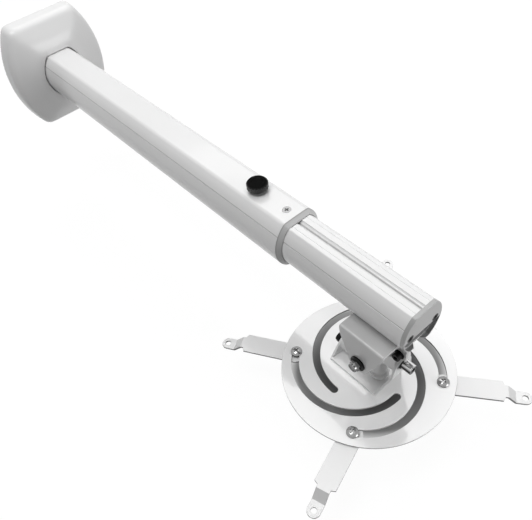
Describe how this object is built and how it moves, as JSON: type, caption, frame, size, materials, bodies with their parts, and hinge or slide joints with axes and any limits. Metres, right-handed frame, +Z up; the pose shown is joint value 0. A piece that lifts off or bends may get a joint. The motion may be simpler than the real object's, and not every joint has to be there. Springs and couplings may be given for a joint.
{
  "type": "projector mount",
  "caption": "Wall-fixed projector mount with a telescopic bulged tube, a clamping knob, a tilting and rolling head, and a slotted round plate with swinging strip arms.",
  "frame": {"origin": "centre of the wall plate's back face, at the height of the tube axis", "axes": "+X along the arm away from the wall, +Z up, +Y to the arm's left seen from the wall"},
  "size_m": [0.7418, 0.2873, 0.2076],
  "materials": {
    "white_paint": "semi-gloss white powder coat",
    "white_plastic": "semi-gloss white moulding",
    "collar_plastic": "satin light grey moulding",
    "black_steel": "black oxide",
    "knob_plastic": "matte black moulding",
    "zinc": "bright zinc plate",
    "glide_plastic": "matte dark moulding"
  },
  "bodies": {
    "base": {"wall_plate": "white_paint", "tube_foot": "white_paint", "foot_bolt_1": "zinc", "foot_bolt_2": "zinc", "foot_bolt_3": "zinc", "foot_bolt_4": "zinc", "tube_screw_near": "zinc", "tube_screw_far": "zinc", "wall_cover": "white_plastic", "outer_tube": "white_paint", "end_collar": "collar_plastic", "knob_insert": "zinc", "guide_screw": "zinc"},
    "knob": {"lock_knob": "knob_plastic"},
    "arm": {"inner_tube": "white_paint", "rear_glide": "glide_plastic", "end_cap": "white_plastic", "cap_screw_near": "black_steel", "cap_screw_far": "black_steel", "nut_plate": "zinc", "bracket_screw_1": "zinc", "bracket_screw_2": "zinc", "bracket_screw_3": "zinc", "bracket_screw_4": "zinc", "tilt_bracket": "white_paint", "tilt_bolt": "zinc", "tilt_washer_near": "black_steel", "tilt_washer_far": "black_steel", "tilt_nut": "zinc", "tilt_lock_washer": "black_steel", "tilt_lock_screw": "black_steel", "tilt_lock_nut": "zinc"},
    "knuckle": {"knuckle": "white_paint", "roll_pivot_screw": "black_steel", "roll_washer": "black_steel", "roll_lock_screw": "black_steel", "roll_lock_washer": "black_steel"},
    "cradle": {"roll_bracket": "white_paint", "swivel_bolt": "zinc", "swivel_washer": "zinc", "swivel_nut": "zinc"},
    "turntable": {"turntable": "white_paint"},
    "slider_left": {"strip_screw_left": "zinc", "strip_washer_left": "zinc", "strip_nut_left": "zinc"},
    "strip_left": {"strip_left": "white_paint"},
    "slider_front": {"strip_screw_front": "zinc", "strip_washer_front": "zinc", "strip_nut_front": "zinc"},
    "strip_front": {"strip_front": "white_paint"},
    "slider_right": {"strip_screw_right": "zinc", "strip_washer_right": "zinc", "strip_nut_right": "zinc"},
    "strip_right": {"strip_right": "white_paint"},
    "slider_back": {"strip_screw_back": "zinc", "strip_washer_back": "zinc", "strip_nut_back": "zinc"},
    "strip_back": {"strip_back": "white_paint"}
  },
  "joints": [
    {"name": "arm_extend", "type": "slide", "parent": "base", "child": "arm", "axis": [1, 0, 0], "range_m": [-0.08, 0.12]},
    {"name": "knob_turn", "type": "hinge", "parent": "base", "child": "knob", "pos_m": [0.454, 0, 0.035], "axis": [0, 0, 1], "continuous": true},
    {"name": "head_tilt", "type": "hinge", "parent": "arm", "child": "knuckle", "pos_m": [0.621, 0, -0.0595], "axis": [0, 1, 0], "range_deg": [-8, 8]},
    {"name": "head_roll", "type": "hinge", "parent": "knuckle", "child": "cradle", "pos_m": [0.606, 0, -0.1075], "axis": [1, 0, 0], "range_deg": [-7, 7]},
    {"name": "plate_swivel", "type": "hinge", "parent": "cradle", "child": "turntable", "pos_m": [0.606, 0, -0.1225], "axis": [0, 0, 1], "continuous": true},
    {"name": "strip_travel_left", "type": "hinge", "parent": "turntable", "child": "slider_left", "pos_m": [0.59017, -0.00646, -0.1225], "axis": [0, 0, 1], "range_deg": [0, 25]},
    {"name": "strip_swing_left", "type": "hinge", "parent": "slider_left", "child": "strip_left", "pos_m": [0.54084, -0.04009, -0.1263], "axis": [0, 0, 1], "range_deg": [-20, 20]},
    {"name": "strip_travel_front", "type": "hinge", "parent": "turntable", "child": "slider_front", "pos_m": [0.61246, -0.01583, -0.1225], "axis": [0, 0, 1], "range_deg": [0, 25]},
    {"name": "strip_swing_front", "type": "hinge", "parent": "slider_front", "child": "strip_front", "pos_m": [0.64609, -0.06516, -0.1263], "axis": [0, 0, 1], "range_deg": [-20, 20]},
    {"name": "strip_travel_right", "type": "hinge", "parent": "turntable", "child": "slider_right", "pos_m": [0.62183, 0.00646, -0.1225], "axis": [0, 0, 1], "range_deg": [0, 25]},
    {"name": "strip_swing_right", "type": "hinge", "parent": "slider_right", "child": "strip_right", "pos_m": [0.67116, 0.04009, -0.1263], "axis": [0, 0, 1], "range_deg": [-20, 20]},
    {"name": "strip_travel_back", "type": "hinge", "parent": "turntable", "child": "slider_back", "pos_m": [0.59954, 0.01583, -0.1225], "axis": [0, 0, 1], "range_deg": [0, 25]},
    {"name": "strip_swing_back", "type": "hinge", "parent": "slider_back", "child": "strip_back", "pos_m": [0.56591, 0.06516, -0.1263], "axis": [0, 0, 1], "range_deg": [-20, 20]}
  ]
}
